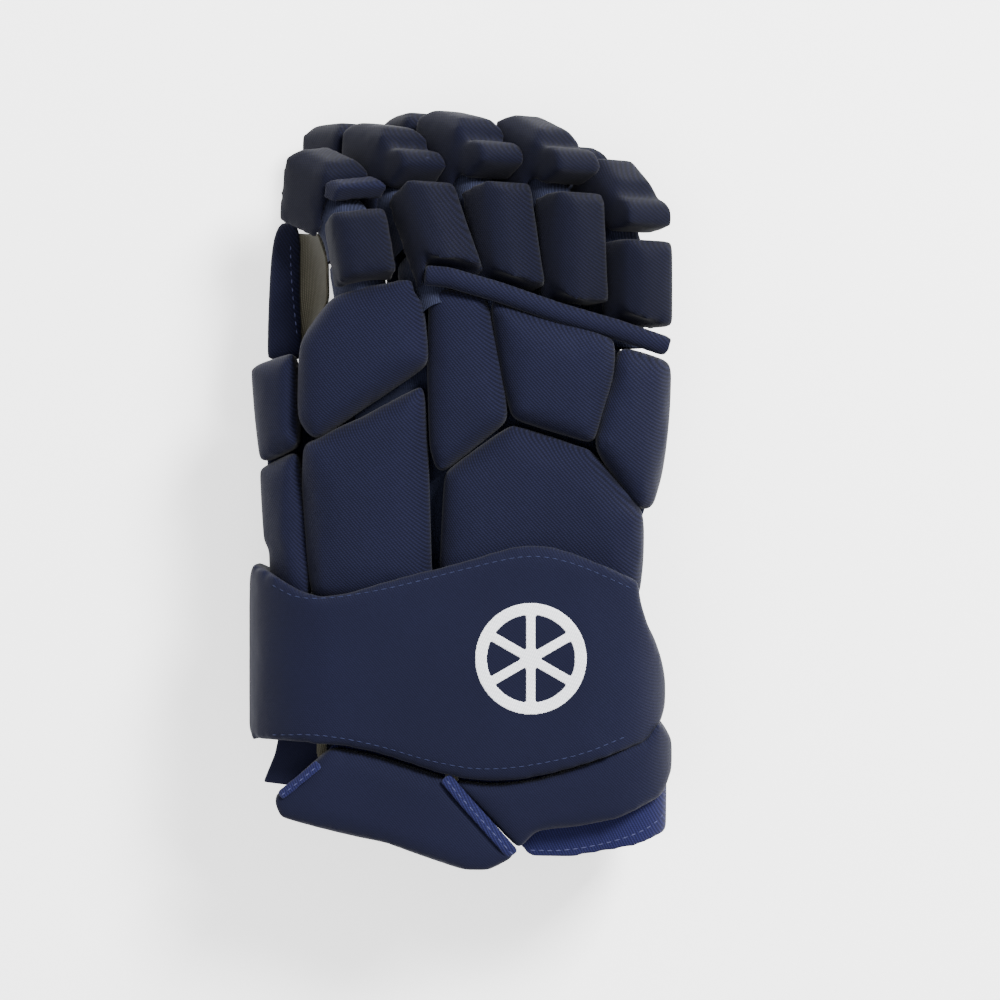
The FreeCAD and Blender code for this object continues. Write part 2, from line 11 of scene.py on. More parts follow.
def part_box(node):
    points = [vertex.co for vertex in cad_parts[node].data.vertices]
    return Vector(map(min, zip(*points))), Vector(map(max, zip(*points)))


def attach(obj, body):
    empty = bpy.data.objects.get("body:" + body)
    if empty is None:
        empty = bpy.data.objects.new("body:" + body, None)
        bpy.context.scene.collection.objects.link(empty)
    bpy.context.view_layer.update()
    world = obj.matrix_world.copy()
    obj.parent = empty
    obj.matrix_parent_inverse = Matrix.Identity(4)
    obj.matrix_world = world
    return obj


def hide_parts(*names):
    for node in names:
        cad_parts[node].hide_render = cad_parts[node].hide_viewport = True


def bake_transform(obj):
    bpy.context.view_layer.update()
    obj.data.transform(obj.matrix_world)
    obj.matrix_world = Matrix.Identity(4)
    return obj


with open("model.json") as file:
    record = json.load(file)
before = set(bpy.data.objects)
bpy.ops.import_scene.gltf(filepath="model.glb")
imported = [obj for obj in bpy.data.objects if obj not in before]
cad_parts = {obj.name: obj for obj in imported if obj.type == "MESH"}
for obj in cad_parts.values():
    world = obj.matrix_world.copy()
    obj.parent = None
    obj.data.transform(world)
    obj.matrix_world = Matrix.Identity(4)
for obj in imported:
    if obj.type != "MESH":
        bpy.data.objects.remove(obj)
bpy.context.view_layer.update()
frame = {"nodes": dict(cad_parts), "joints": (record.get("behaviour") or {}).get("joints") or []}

# ---- Hand and cuff linings ----
# The glove is built round a sleeve of brushed khaki cloth quilted to thin foam: one length
# for the hand and one for the forearm.  Each is cut, sewn into a tube and turned.
millimetre = 0.001
cuff_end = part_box("inner_flap_pad")[0].y
glove_middle = (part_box("palm_cuff_panel")[0].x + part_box("palm_cuff_panel")[1].x) / 2


def spot(x, y, z=0.0):
    """A point measured in millimetres from the middle of the cuff end, on the table."""
    return Vector((glove_middle + x * millimetre, cuff_end + y * millimetre, z * millimetre))


def cad_copy(name, node):
    """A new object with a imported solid's mesh, its doubled edge points merged."""
    mesh = frame["nodes"][node].data.copy()
    mesh.materials.clear()
    work = bmesh.new()
    work.from_mesh(mesh)
    bmesh.ops.remove_doubles(work, verts=work.verts, dist=1e-6)
    work.to_mesh(mesh)
    work.free()
    piece = bpy.data.objects.new(name, mesh)
    bpy.context.scene.collection.objects.link(piece)
    return piece


def settle_modifiers(piece):
    """Replace a piece's mesh by what its modifiers make of it."""
    graph = bpy.context.evaluated_depsgraph_get()
    piece.data = bpy.data.meshes.new_from_object(piece.evaluated_get(graph))
    piece.modifiers.clear()


def remeshed(piece, step):
    """Even quads all over a piece, step millimetres wide."""
    grid = piece.modifiers.new("Even", "REMESH")
    grid.mode = "VOXEL"
    grid.voxel_size = step * millimetre
    settle_modifiers(piece)
    return piece


def points_of(piece):
    co = np.empty(len(piece.data.vertices) * 3)
    piece.data.vertices.foreach_get("co", co)
    return co.reshape(-1, 3)


def move_points(piece, co):
    piece.data.vertices.foreach_set("co", co.ravel())
    piece.data.update()


def normals_of(piece):
    out = np.empty(len(piece.data.vertices) * 3)
    piece.data.vertices.foreach_get("normal", out)
    return out.reshape(-1, 3)


def eased(piece, rounds, share=0.5):
    """Draw every point towards its neighbours, as cloth over foam has no sharp arris."""
    edges = np.empty(len(piece.data.edges) * 2, int)
    piece.data.edges.foreach_get("vertices", edges)
    edges = edges.reshape(-1, 2)
    co = points_of(piece)
    count = np.bincount(edges.ravel(), minlength=len(co))[:, None]
    for _ in range(rounds):
        total = np.zeros_like(co)
        np.add.at(total, edges[:, 0], co[edges[:, 1]])
        np.add.at(total, edges[:, 1], co[edges[:, 0]])
        co += (total / np.maximum(count, 1) - co) * share
    move_points(piece, co)
    return piece


def shaded(piece, material, levels=1):
    """Smooth the piece, give it its cloth and leave one subdivision on it."""
    piece.data.materials.clear()
    piece.data.materials.append(material)
    piece.data.polygons.foreach_set("use_smooth", [True] * len(piece.data.polygons))
    piece.data.update()
    if levels:
        piece.modifiers.new("Smooth", "SUBSURF").levels = levels
        piece.modifiers["Smooth"].render_levels = levels
    return piece


def woven(name, valley, crown, ribs, picks, depth, rough=0.85, sheen=0.03, mottle=0.25,
          wear_and_highlight=0.0, worn_highlight_colour=(0.2, 0.2, 0.25)):
    """Woven cloth: ribs and picks are the two yarn directions, as ((x, y, z), spacing in mm).

    depth is how far the crowns stand up in mm. The last two arguments set how much convex edges
    are lightened and to what colour: a painted highlight along the edges that also stands for
    rubbed wear.
    """
    material = bpy.data.materials.new(name)
    material.use_nodes = True
    tree = material.node_tree
    shader = tree.nodes["Principled BSDF"]
    shader.inputs["Roughness"].default_value = rough
    shader.inputs["Specular IOR Level"].default_value = 0.07
    shader.inputs["Sheen Weight"].default_value = sheen
    shader.inputs["Sheen Roughness"].default_value = 0.5
    where = tree.nodes.new("ShaderNodeTexCoord").outputs["Object"]

    def maths(kind, a, b=None, c=None):
        node = tree.nodes.new("ShaderNodeMath")
        node.operation = kind
        for i, value in enumerate((a, b, c)):
            if value is None:
                continue
            if isinstance(value, (int, float)):
                node.inputs[i].default_value = value
            else:
                tree.links.new(value, node.inputs[i])
        return node.outputs[0]

    def noise(scale, detail=2.0):
        node = tree.nodes.new("ShaderNodeTexNoise")
        node.inputs["Scale"].default_value = scale
        node.inputs["Detail"].default_value = detail
        tree.links.new(where, node.inputs["Vector"])
        return node.outputs[0]

    wander = noise(90.0)

    def yarn(direction, spacing):
        turn = Vector(direction) * (2 * pi / (spacing * millimetre))
        node = tree.nodes.new("ShaderNodeVectorMath")
        node.operation = "DOT_PRODUCT"
        tree.links.new(where, node.inputs[0])
        node.inputs[1].default_value = turn
        phase = maths("MULTIPLY_ADD", wander, 3.0, node.outputs["Value"])
        return maths("MULTIPLY_ADD", maths("SINE", phase), 0.5, 0.5)

    rib, pick = yarn(*ribs), yarn(*picks)
    height = maths("MULTIPLY", rib, maths("MULTIPLY_ADD", pick, 0.5, 0.5))
    colour = tree.nodes.new("ShaderNodeMix")
    colour.data_type = "RGBA"
    colour.inputs[6].default_value = (*valley, 1)
    colour.inputs[7].default_value = (*crown, 1)
    shade = maths("MULTIPLY_ADD", maths("SUBTRACT", noise(22.0, 4.0), 0.5), mottle * 2.0, height)
    shade = maths("MULTIPLY_ADD", maths("SUBTRACT", noise(700.0), 0.5), 0.35, shade)
    tree.links.new(shade, colour.inputs[0])
    result = colour.outputs[2]
    # Convex edges lightened by pointiness: a painted highlight along the edges that also stands
    # for rubbed wear.
    if wear_and_highlight:
        edge = tree.nodes.new("ShaderNodeNewGeometry").outputs["Pointiness"]
        edge = maths("SUBTRACT", edge, 0.53)
        edge = maths("MULTIPLY", edge, 14.0 * wear_and_highlight)
        edge = maths("MULTIPLY", edge, noise(160.0, 4.0))
        ramp = tree.nodes.new("ShaderNodeClamp")
        tree.links.new(edge, ramp.inputs[0])
        ramp.inputs[2].default_value = 0.6
        rubbed_highlight = tree.nodes.new("ShaderNodeMix")
        rubbed_highlight.data_type = "RGBA"
        tree.links.new(ramp.outputs[0], rubbed_highlight.inputs[0])
        tree.links.new(result, rubbed_highlight.inputs[6])
        rubbed_highlight.inputs[7].default_value = (*worn_highlight_colour, 1)
        result = rubbed_highlight.outputs[2]
    tree.links.new(result, shader.inputs["Base Color"])
    fine = tree.nodes.new("ShaderNodeBump")
    fine.inputs["Distance"].default_value = depth * millimetre
    fine.inputs["Strength"].default_value = 1.0
    tree.links.new(height, fine.inputs["Height"])
    loose = tree.nodes.new("ShaderNodeBump")
    loose.inputs["Distance"].default_value = 0.0012
    loose.inputs["Strength"].default_value = 0.35
    tree.links.new(noise(45.0, 3.0), loose.inputs["Height"])
    tree.links.new(fine.outputs[0], loose.inputs["Normal"])
    tree.links.new(loose.outputs[0], shader.inputs["Normal"])
    return material


khaki_brushed = woven("khaki_brushed", (0.026, 0.024, 0.017), (0.075, 0.070, 0.052),
                      ((1, 0.2, 0.6), 1.0), ((0.2, 1, 0.7), 0.9), 0.05, rough=0.95,
                      sheen=0.2, mottle=0.6)
for node, body in (("hand_liner", "hand"), ("cuff_liner", "cuff")):
    lining = eased(remeshed(cad_copy(node + "_cloth", node), 1.6), 2)
    shaded(lining, khaki_brushed, 0)
    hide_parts(node)
    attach(lining, body)

# ---- Wrist gusset ----
# A short tube of navy stretch cloth joins the two linings, so the hand can tip against the
# cuff.  It is sewn inside both and folds a little at the wrist.
navy_plain = woven("navy_plain", (0.004, 0.005, 0.012), (0.010, 0.012, 0.028),
                   ((1, 0.1, 0.5), 0.9), ((0.1, 1, 0.6), 0.9), 0.06)


def rounded_ring(centre, wide, high, tilt, count, power=0.5):
    """Points of one rounded oblong section across the glove."""
    ring = []
    for i in range(count):
        a = 2 * pi * i / count
        c, s = cos(a), sin(a)
        x = abs(c) ** power * (1 if c > 0 else -1) * wide
        z = abs(s) ** power * (1 if s > 0 else -1) * high
        ring.append(centre + Vector((x * cos(tilt) + z * sin(tilt), 0,
                                     z * cos(tilt) - x * sin(tilt))))
    return ring


def skin_through(name, rings, closed_ends=False):
    """A mesh through equal rings of points, one after another."""
    mesh = bmesh.new()
    rows = [[mesh.verts.new(point) for point in ring] for ring in rings]
    count = len(rows[0])
    for low, high in zip(rows, rows[1:]):
        for i in range(count):
            j = (i + 1) % count
            mesh.faces.new((low[i], low[j], high[j], high[i]))
    if closed_ends:
        mesh.faces.new(rows[0])
        mesh.faces.new(rows[-1])
    bmesh.ops.recalc_face_normals(mesh, faces=mesh.faces)
    data = bpy.data.meshes.new(name)
    mesh.to_mesh(data)
    mesh.free()
    piece = bpy.data.objects.new(name, data)
    bpy.context.scene.collection.objects.link(piece)
    return piece


cuff_low, cuff_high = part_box("cuff_liner")
hand_low, hand_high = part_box("hand_liner")
cuff_mid, hand_mid = (cuff_low + cuff_high) / 2, (hand_low + hand_high) / 2
gusset_rings = []
gusset_steps = 12
for step in range(gusset_steps + 1):
    t = step / gusset_steps
    y = (cuff_high.y - 0.006) * (1 - t) + (hand_low.y + 0.008) * t
    fold = 0.0012 * sin(3 * pi * t) ** 2
    wide = 0.0625 * (1 - t) + 0.0600 * t - fold
    high = 0.0355 * (1 - t) + 0.0232 * t - fold
    z = (cuff_high.z - 0.0395) * (1 - t) + hand_mid.z * t
    middle = Vector((cuff_mid.x * (1 - t) + hand_mid.x * t, y, z))
    gusset_rings.append(rounded_ring(middle, wide, high, 0.105 * t, 56))
gusset = shaded(skin_through("wrist_gusset", gusset_rings), navy_plain)
gusset.modifiers.new("Cloth", "SOLIDIFY").thickness = 0.001
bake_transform(gusset)

# ---- Stiffeners ----
# Two thin sheets of moulded black plastic, one under the backhand pads and one in the cuff,
# spread a blow over the hand.  They are slipped between lining and pad and sewn round.
moulded_sheet = bpy.data.materials.new("moulded_sheet")
moulded_sheet.use_nodes = True
sheet_tree = moulded_sheet.node_tree
sheet_shader = sheet_tree.nodes["Principled BSDF"]
sheet_shader.inputs["Base Color"].default_value = (0.004, 0.005, 0.012, 1)
sheet_shader.inputs["Roughness"].default_value = 0.9
sheet_shader.inputs["Specular IOR Level"].default_value = 0.1
sheet_grain = sheet_tree.nodes.new("ShaderNodeTexNoise")
sheet_grain.inputs["Scale"].default_value = 900.0
sheet_bump = sheet_tree.nodes.new("ShaderNodeBump")
sheet_bump.inputs["Distance"].default_value = 0.0001
sheet_tree.links.new(sheet_grain.outputs[0], sheet_bump.inputs["Height"])
sheet_tree.links.new(sheet_bump.outputs[0], sheet_shader.inputs["Normal"])
for node in ("backhand_stiffener", "cuff_stiffener"):
    frame["nodes"][node].data.materials.clear()
    frame["nodes"][node].data.materials.append(moulded_sheet)

# ---- Backhand base and palm ----
# The base is plain navy cloth that the backhand pads are sewn down to.  The palm is one
# sheet of navy synthetic suede, sewn to the base along the two sides of the hand.
suede = woven("navy_suede", (0.016, 0.019, 0.040), (0.034, 0.039, 0.075),
              ((1, 0.37, 0.5), 0.55), ((0.4, 1, 0.3), 0.6), 0.05, rough=0.95, sheen=0.4,
              mottle=0.9, wear_and_highlight=0.6, worn_highlight_colour=(0.09, 0.09, 0.12))
for node, cloth, slot in (("backhand_base", navy_plain, "pad"), ("palm_panel", suede, "palm")):
    piece = eased(remeshed(cad_copy(node + "_cloth", node), 1.2), 2)
    shaded(piece, cloth, 0)
    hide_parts(node)
    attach(piece, "hand")

# ---- Backhand pads ----
# Eight blocks of firm foam, each bevelled round its outer face and wrapped tight in navy
# twill.  They are sewn to the base side by side, with a narrow valley left between them.
navy_twill = woven("navy_twill", (0.0018, 0.0021, 0.0072), (0.0058, 0.0066, 0.0205),
                   ((0.75, 0.66, 0.4), 1.1), ((-0.2, 1.0, 0.3), 0.95), 0.09, wear_and_highlight=0.3,
                   worn_highlight_colour=(0.03, 0.034, 0.07))


def swollen(piece, pressure, most):
    """Blow the cover out over its foam, no point further than most millimetres."""
    scene = bpy.context.scene
    rest = points_of(piece)
    cover = piece.modifiers.new("Cover", "CLOTH")
    cover.settings.use_pressure = True
    cover.settings.uniform_pressure_force = pressure
    cover.settings.effector_weights.gravity = 0
    cover.settings.quality = 3
    cover.settings.tension_stiffness = 12
    cover.settings.compression_stiffness = 12
    cover.settings.shear_stiffness = 6
    cover.settings.bending_stiffness = 0.6
    last_frame = 14
    cover.point_cache.frame_start, cover.point_cache.frame_end = 1, last_frame
    for step in range(1, last_frame + 1):
        scene.frame_set(step)
    settle_modifiers(piece)
    scene.frame_set(1)
    shift = points_of(piece) - rest
    far = np.linalg.norm(shift, axis=1, keepdims=True)
    shift *= np.minimum(1, most * millimetre / np.maximum(far, 1e-9))
    move_points(piece, rest + shift)
    return piece


def foam_pad(node, body, cloth, step, pressure, most, ease=3, shrink=0.5,
             joined=()):
    """A foam block in its cover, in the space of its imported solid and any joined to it."""
    piece = cad_copy(node + "_cover", node)
    for other in joined:
        work = bmesh.new()
        work.from_mesh(piece.data)
        more = cad_copy("joined", other)
        towards = Vector(points_of(piece).mean(0) - points_of(more).mean(0)).normalized()
        sunk = 1.6 * millimetre
        more.data.transform(Matrix.Translation(towards * sunk))
        work.from_mesh(more.data)
        work.to_mesh(piece.data)
        work.free()
        bpy.data.objects.remove(more)
    remeshed(piece, step)
    if joined:
        closing = 2.0 * millimetre        # valleys narrower than twice this are filled
        move_points(piece, points_of(piece) + normals_of(piece) * closing)
        remeshed(piece, step)
        move_points(piece, points_of(piece) - normals_of(piece) * closing)
    move_points(piece, points_of(piece) - normals_of(piece) * shrink * millimetre)
    swollen(piece, pressure, most)
    eased(piece, ease)
    shaded(piece, cloth)
    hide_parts(node, *joined)
    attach(piece, body)
    return piece


backhand = {}
for node in ("thumb_base_pad", "inner_wrist_pad", "index_back_pad", "middle_back_pad",
             "outer_back_pad", "outer_wrist_pad", "upper_side_pad", "lower_side_pad"):
    backhand[node] = foam_pad(node, "hand", navy_twill, 2.0, 8.0, 1.8, ease=5, shrink=-0.3)

# ---- Knuckle roll ----
# A long roll of foam in a bias-cut tube of the same cloth.  It lies over the knuckles and
# is caught down at its ends.
foam_pad("knuckle_roll", "hand", navy_twill, 1.3, 3.0, 0.6, ease=2, shrink=0.2)

# ---- Finger roots ----
# The hand sleeve ends in a rounded wall of navy cloth that the finger tubes are sewn into,
# a little further out on the thumb side than on the little finger's.
root_rings = []
for out, share in ((0, 1.0), (9, 1.0), (16, 0.99), (21, 0.95), (25, 0.84), (27.5, 0.66),
                   (29, 0.4)):
    ring = rounded_ring(spot(-1.2, 204 + out, 38.0), 0.0625 * share, 0.0255 * share, 0.105, 64)
    root_rings.append([point - Vector((0, (point.x - glove_middle) * 0.14, 0))
                       for point in ring])
roots = shaded(skin_through("finger_root_wall", root_rings), navy_plain)
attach(roots, "hand")

# ---- Thumb opening ----
# A narrow padded strip edges the thumb side of the hand.  Between it and the thumb the
# khaki lining shows, sagging a little in its middle.
strip_rings = []
for y, left, right, z, thick in ((213, -84.6, -70.2, 46.5, 2.0), (215, -85.0, -70.0, 46.4, 3.0),
                                 (226, -84.9, -70.4, 45.6, 3.3), (240, -84.6, -71.0, 43.4, 3.4),
                                 (252, -84.2, -71.3, 40.2, 3.3), (262, -83.6, -71.2, 36.6, 3.0),
                                 (269, -82.2, -72.0, 33.8, 2.6), (273, -79.8, -73.8, 32.2, 1.8)):
    middle = spot((left + right) / 2, y, z)
    strip_rings.append(rounded_ring(middle, (right - left) / 2 * millimetre,
                                    thick * millimetre, 0.0, 20, 0.7))
strip = shaded(skin_through("thumb_side_strip", strip_rings, True), navy_twill)
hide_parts("thumb_side_panel")
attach(strip, "hand")


def hung_sheet(name, left, right, sag, thick, material, count=12):
    """A thin sheet between two lines of points, hanging sag millimetres in its middle."""
    def along(line, t):
        k = min(int(t * (len(line) - 1)), len(line) - 2)
        return Vector(line[k]).lerp(Vector(line[k + 1]), t * (len(line) - 1) - k)
    work = bmesh.new()
    grid = []
    for i in range(count + 1):
        a, b = along(left, i / count), along(right, i / count)
        row = []
        for j in range(count + 1):
            t = j / count
            point = a.lerp(b, t)
            point.z -= sag * sin(pi * t)
            row.append(work.verts.new(spot(*point)))
        grid.append(row)
    for i in range(count):
        for j in range(count):
            work.faces.new((grid[i][j], grid[i][j + 1], grid[i + 1][j + 1], grid[i + 1][j]))
    bmesh.ops.recalc_face_normals(work, faces=work.faces)
    data = bpy.data.meshes.new(name)
    work.to_mesh(data)
    work.free()
    piece = bpy.data.objects.new(name, data)
    bpy.context.scene.collection.objects.link(piece)
    shaded(piece, material)
    piece.modifiers.new("Cloth", "SOLIDIFY").thickness = thick * millimetre
    return piece


opening = hung_sheet("thumb_opening_khaki",
                     [(-71.5, 220, 46), (-71.6, 238, 44), (-72.0, 256, 38.5), (-72.5, 268, 34)],
                     [(-67.5, 220, 50), (-59.0, 238, 54), (-59.5, 256, 52), (-63.5, 267, 46)],
                     3.0, 1.2, khaki_brushed)
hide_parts("thumb_opening_lining")
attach(opening, "hand")

# ---- Side and finger gussets ----
# Plain navy cloth closes the side of the hand under the wrist pads, and webs the roots of
# the fingers together below their tubes.
side = hung_sheet("side_gusset", [(-72, 112, 36), (-73, 126, 37), (-74, 142, 38)],
                  [(-54, 112, 48), (-54, 126, 48), (-54, 142, 48)], 0.0, 1.0, navy_plain)
web = hung_sheet("finger_web", [(-34, 214, 46), (-34, 234, 45), (-34, 254, 42)],
                 [(66, 206, 34), (66, 225, 33), (66, 243, 30)], 0.0, 1.0, navy_plain)
for cloth in (side, web):
    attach(cloth, "hand")

# ---- Fingers and thumb ----
# Each finger is a sewn tube of navy knit, closed at the tip, that bends at three joints.
# Foam blocks in navy cloth are sewn along its back, and a small roll bridges the middle
# joint.  The thumb has two blocks, with a binding tape round the seam between them.
navy_knit = woven("navy_knit", (0.007, 0.008, 0.017), (0.018, 0.021, 0.042),
                  ((1, 0.3, 0.4), 1.0), ((0.3, 0.8, 1.0), 0.8), 0.12, rough=0.9, mottle=0.4)
finger_cloth = woven("navy_finger_cloth", (0.0009, 0.0011, 0.0038), (0.0032, 0.0037, 0.0122),
                     ((0.75, 0.66, 0.4), 1.0), ((-0.2, 1.0, 0.3), 0.9), 0.07, wear_and_highlight=0.3,
                     worn_highlight_colour=(0.03, 0.034, 0.07))
royal_tape = woven("royal_tape", (0.0040, 0.0044, 0.0200), (0.0110, 0.0122, 0.0520),
                   ((1.0, 0.5, 0.2), 1.2), ((0.2, 1.0, 0.8), 0.9), 0.10, wear_and_highlight=0.5,
                   worn_highlight_colour=(0.05, 0.055, 0.12))
around = 28                    # points round a finger tube


def sewn_tube(name, rows, material):
    """Tube of rounded section through rows of (centre, side, normal, width, depth)."""
    mesh = bmesh.new()
    rings = []
    for centre, side, normal, wide, deep in rows:
        ring = []
        for i in range(around):
            a = 2 * pi * i / around
            c, s = cos(a), sin(a)
            u = abs(c) ** 0.62 * (1 if c > 0 else -1)
            v = abs(s) ** 0.62 * (1 if s > 0 else -1)
            ring.append(mesh.verts.new(centre + side * (u * wide) + normal * (v * deep)))
        rings.append(ring)
    for low, high in zip(rings, rings[1:]):
        for i in range(around):
            j = (i + 1) % around
            mesh.faces.new((low[i], low[j], high[j], high[i]))
    mesh.faces.new(rings[-1])
    bmesh.ops.recalc_face_normals(mesh, faces=mesh.faces)
    data = bpy.data.meshes.new(name)
    mesh.to_mesh(data)
    mesh.free()
    piece = bpy.data.objects.new(name, data)
    bpy.context.scene.collection.objects.link(piece)
    return shaded(piece, material)


def bent_rows(before, joint, after, hinge, reach, wide, deep, steps=9):
    """Rows round a joint, from reach before it to reach after it, on one smooth bend."""
    first, last = (joint - before).normalized(), (after - joint).normalized()
    start, stop = joint - first * reach, joint + last * reach
    rows = []
    for i in range(steps):
        t = i / (steps - 1)
        centre = start * (1 - t) ** 2 + joint * (2 * t * (1 - t)) + stop * t * t
        run = ((joint - start) * (1 - t) + (stop - joint) * t).normalized()
        rows.append((centre, hinge, run.cross(hinge).normalized() * -1, wide, deep))
    return rows


joints = {joint["name"]: joint for joint in frame["joints"]}


def pivot(name):
    return Vector(joints[name]["pos_m"])


def far_end(node, origin, hinge):
    """Direction from a joint along the middle of a tip, and how far the tip reaches."""
    co = np.array([v.co for v in frame["nodes"][node].data.vertices])
    run = Vector(((co.min(0) + co.max(0)) / 2).tolist()) - origin
    run = (run - hinge * run.dot(hinge)).normalized()
    return run, float(((co - np.array(origin)) @ np.array(run)).max())


def finger_tubes(name, knuckle, others, tip_node, wide, deep):
    """Tubes for one finger, one across each joint, each shaped on a bend round it between two
    parts.
    """
    hinge = -Vector(joints[knuckle]["axis"])
    spots = [pivot(knuckle)] + [pivot(n) for n in others]
    tip_run, reach = far_end(tip_node, spots[-1], hinge)
    spots.append(spots[-1] + tip_run * reach)
    spots.insert(0, spots[0] - (spots[1] - spots[0]).normalized() * 0.012)
    pieces = []
    for i in range(1, len(spots) - 1):
        before, here, after = spots[i - 1:i + 2]
        bend = 0.012 if i > 1 else 0.008
        rows = bent_rows(before, here, after, hinge, bend, wide, deep)
        into, out = (here - before).normalized(), (after - here).normalized()
        if i > 1:
            half = (here - before).length / 2 - bend
            rows.insert(0, (rows[0][0] - into * (half + 0.0006), *rows[0][1:]))
        if i < len(spots) - 2:
            half = (after - here).length / 2 - bend
            rows.append((rows[-1][0] + out * (half + 0.0006), *rows[-1][1:]))
        else:
            tip = (after - rows[-1][0]).length
            frame_row = rows[-1]
            for along, share in ((0.45, 1.0), (0.7, 0.97), (0.86, 0.86), (0.95, 0.66),
                                 (0.995, 0.36)):
                rows.append((frame_row[0] + out * tip * along, hinge, frame_row[2],
                             wide * share, deep * share))
        piece = sewn_tube(f"{name}_tube_{i}", rows, navy_knit)
        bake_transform(piece)
        pieces.append(piece)
    return pieces


for finger in ("index", "middle", "ring", "little"):
    parts = ("first", "second", "tip")
    tubes = finger_tubes(finger, finger + "_knuckle",
                         [finger + "_middle_joint", finger + "_tip_joint"],
                         finger + "_tip_stall", 0.0100, 0.0107)
    for tube, part in zip(tubes, parts):
        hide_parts(f"{finger}_{part}_stall")
        roll = (finger + "_joint_roll",) if part == "second" else ()
        foam_pad(f"{finger}_{part}_pad", f"{finger}_{part}", finger_cloth, 1.5, 6.0, 1.1,
                 ease=4, shrink=-0.2, joined=roll)

thumb = finger_tubes("thumb", "thumb_base_joint", ["thumb_tip_joint"],
                     "thumb_tip_stall", 0.0098, 0.0102)
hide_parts("thumb_lower_stall")
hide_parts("thumb_tip_stall")
foam_pad("thumb_lower_pad", "thumb_lower", finger_cloth, 1.6, 6.0, 1.2, ease=4, shrink=-0.2)
foam_pad("thumb_tip_pad", "thumb_tip", finger_cloth, 1.6, 6.0, 1.2, ease=4, shrink=-0.2)
foam_pad("thumb_binding_tape", "thumb_tip", navy_twill, 1.0, 2.0, 0.4, ease=2, shrink=0.1)

# ---- Cuff ----
# A flared band of firm foam in navy cloth wraps the wrist, with two padded flaps and their
# royal bindings behind its lower edge.  A flat suede panel closes it under the wrist.
navy_smooth = woven("navy_band_cloth", (0.0026, 0.0030, 0.0098), (0.0050, 0.0057, 0.0180),
                    ((0.75, 0.66, 0.4), 0.9), ((-0.2, 1.0, 0.3), 0.8), 0.05, wear_and_highlight=0.3,
                    worn_highlight_colour=(0.03, 0.034, 0.07))


def drawn_in(piece, across, along):
    """Scale a piece from its thumb-side upper corner, and the more so away from that side."""
    co = points_of(piece)
    corner = np.array([co[:, 0].min(), co[:, 1].max(), 0])
    share = (co[:, :1] - corner[0]) / (co[:, 0].max() - corner[0])
    scale = 1 + (np.array([[across, along, 1]]) - 1) * share
    move_points(piece, corner + (co - corner) * scale)


foam_pad("cuff_band", "cuff", navy_smooth, 2.4, 4.0, 0.9, ease=3, shrink=0.3)
foam_pad("inner_flap_pad", "cuff", navy_smooth, 2.0, 6.0, 1.4, ease=4, shrink=0.1)
outer_flap = foam_pad("outer_flap_pad", "cuff", navy_smooth, 2.0, 6.0, 1.4, ease=4, shrink=0.2)
drawn_in(outer_flap, 0.965, 0.90)
foam_pad("inner_flap_backing", "cuff", royal_tape, 1.4, 2.0, 0.5, ease=2, shrink=0.1)
rim = foam_pad("outer_flap_backing", "cuff", royal_tape, 1.4, 2.0, 0.5, ease=2, shrink=0.1)
drawn_in(rim, 1.08, 1.0)
foam_pad("palm_cuff_panel", "cuff", suede, 1.6, 2.0, 0.5, ease=3, shrink=0.2)

# ---- Bindings and stitching ----
# The flaps are bound in royal tape, folded over the raw edge and sewn through with light
# thread.  The band and the side strip are top-stitched close to their edges.
light_thread = woven("light_thread", (0.022, 0.024, 0.060), (0.060, 0.066, 0.140),
                     ((1.0, 0.4, 0.3), 0.5), ((0.3, 1.0, 0.2), 0.6), 0.05)
navy_thread = woven("navy_thread", (0.009, 0.011, 0.030), (0.024, 0.029, 0.070),
                    ((1.0, 0.4, 0.3), 0.5), ((0.3, 1.0, 0.2), 0.6), 0.05)


def resting(pieces, plan, step, reach=0.0):
    """Points and normals where a plan line, in millimetres, lies on the pieces below it.

    With a reach, a point lies as high as the highest cloth that near to either side.
    """
    graph = bpy.context.evaluated_depsgraph_get()
    trees = [BVHTree.FromObject(piece, graph) for piece in pieces]
    line = [spot(*p) for p in plan]
    lengths = np.cumsum([0] + [(b - a).length for a, b in zip(line, line[1:])])
    count = max(2, int(round(lengths[-1] / (step * millimetre))))
    found = []
    for i in range(count + 1):
        at = lengths[-1] * i / count
        k = min(int(np.searchsorted(lengths, at, "right")) - 1, len(line) - 2)
        share = (at - lengths[k]) / (lengths[k + 1] - lengths[k])
        place = line[k].lerp(line[k + 1], float(share))
        starts = [Vector((place.x + aside, place.y + aside, 0.3))
                  for aside in (0.0, reach * millimetre, -reach * millimetre)]
        hits = [tree.ray_cast(start, Vector((0, 0, -1))) for tree in trees for start in starts]
        hits = [hit for hit in hits if hit[0] is not None]
        if hits:
            best = max(hits, key=lambda hit: hit[0].z)
            found.append((Vector((place.x, place.y, best[0].z)), best[1]))
    return found


def rounded_line(plan, rounds=2):
    """The plan line with its corners cut round."""
    for _ in range(rounds):
        line = [plan[0]]
        for (x0, y0), (x1, y1) in zip(plan, plan[1:]):
            line += [(x0 * 0.75 + x1 * 0.25, y0 * 0.75 + y1 * 0.25),
                     (x0 * 0.25 + x1 * 0.75, y0 * 0.25 + y1 * 0.75)]
        plan = line + [plan[-1]]
    return plan


